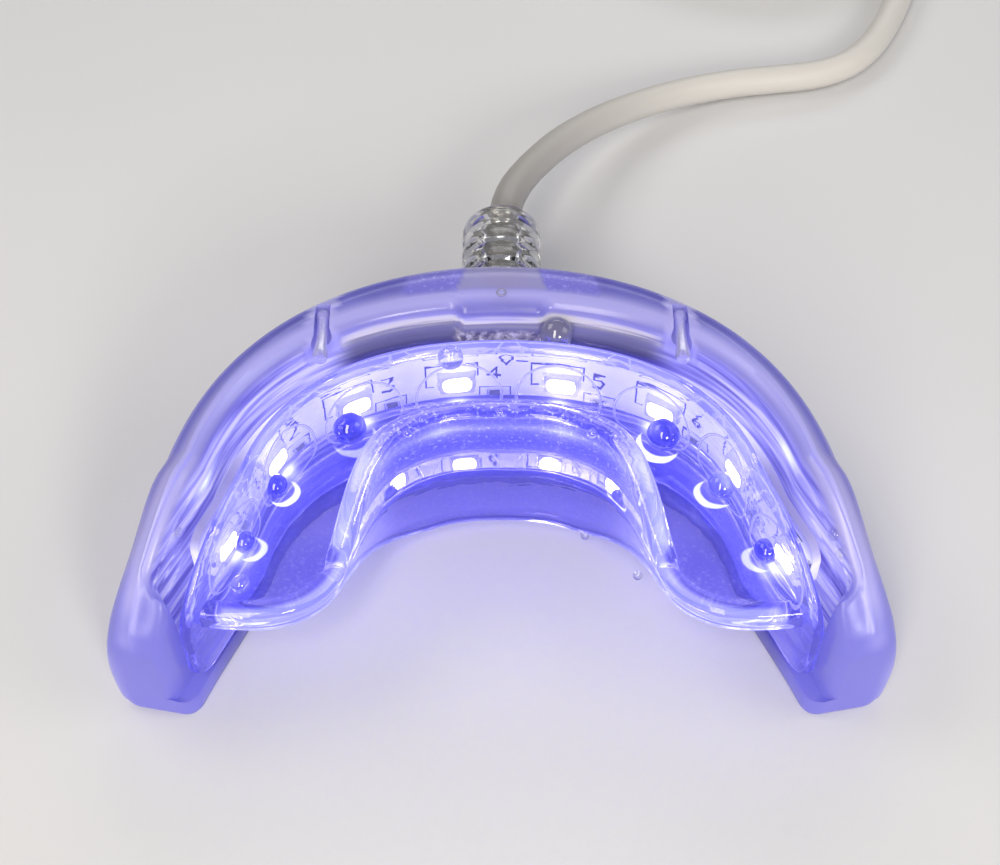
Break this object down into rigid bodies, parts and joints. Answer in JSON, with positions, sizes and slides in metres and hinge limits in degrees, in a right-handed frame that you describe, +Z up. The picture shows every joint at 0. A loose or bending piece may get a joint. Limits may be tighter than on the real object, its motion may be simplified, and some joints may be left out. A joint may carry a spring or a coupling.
{
  "type": "teeth whitening lamp",
  "caption": "Horseshoe mouthpiece lamp: clear bite tray in a frosted shell, a curved strip of lit chips between them, and a corded lead with a flat plug.",
  "frame": {"origin": "middle of the lamp's own box on the surface that it lies on, the cord and plug left out", "axes": "+X to the wearer's one side along the line across the two legs, +Y from the open side of the tray to the cord exit, +Z up, square to the bite plate"},
  "size_m": [0.104, 0.1666, 0.02],
  "materials": {
    "clear_tray": "clear, polished",
    "frosted_shell": "frosted, satin",
    "strip_white": "matte",
    "led_lit": "lit",
    "chip_dark": "matte",
    "solder": "satin",
    "wire_red": "satin",
    "wire_black": "satin",
    "clear_sleeve": "clear, satin",
    "cord_white": "satin",
    "tie_white": "satin",
    "plug_steel": "brushed",
    "tongue_white": "satin",
    "contact_gold": "polished"
  },
  "bodies": {
    "root": {"coil_tie": "tie_white", "cord": "cord_white", "cord_coil": "cord_white", "front_shell": "frosted_shell", "led_1": "led_lit", "led_2": "led_lit", "led_3": "led_lit", "led_4": "led_lit", "led_5": "led_lit", "led_6": "led_lit", "led_7": "led_lit", "led_8": "led_lit", "led_board": "strip_white", "locating_pin_left": "clear_tray", "locating_pin_right": "clear_tray", "mouth_tray": "clear_tray", "plug_overmould": "cord_white", "resistor_1": "chip_dark", "resistor_2": "chip_dark", "resistor_3": "chip_dark", "resistor_4": "chip_dark", "resistor_5": "chip_dark", "resistor_6": "chip_dark", "resistor_7": "chip_dark", "resistor_8": "chip_dark", "solder_joint_negative": "solder", "solder_joint_positive": "solder", "strain_relief": "clear_sleeve", "usb_contact_1": "contact_gold", "usb_contact_2": "contact_gold", "usb_contact_3": "contact_gold", "usb_contact_4": "contact_gold", "usb_shell": "plug_steel", "usb_tongue": "tongue_white", "wire_negative": "wire_black", "wire_positive": "wire_red"}
  },
  "joints": []
}
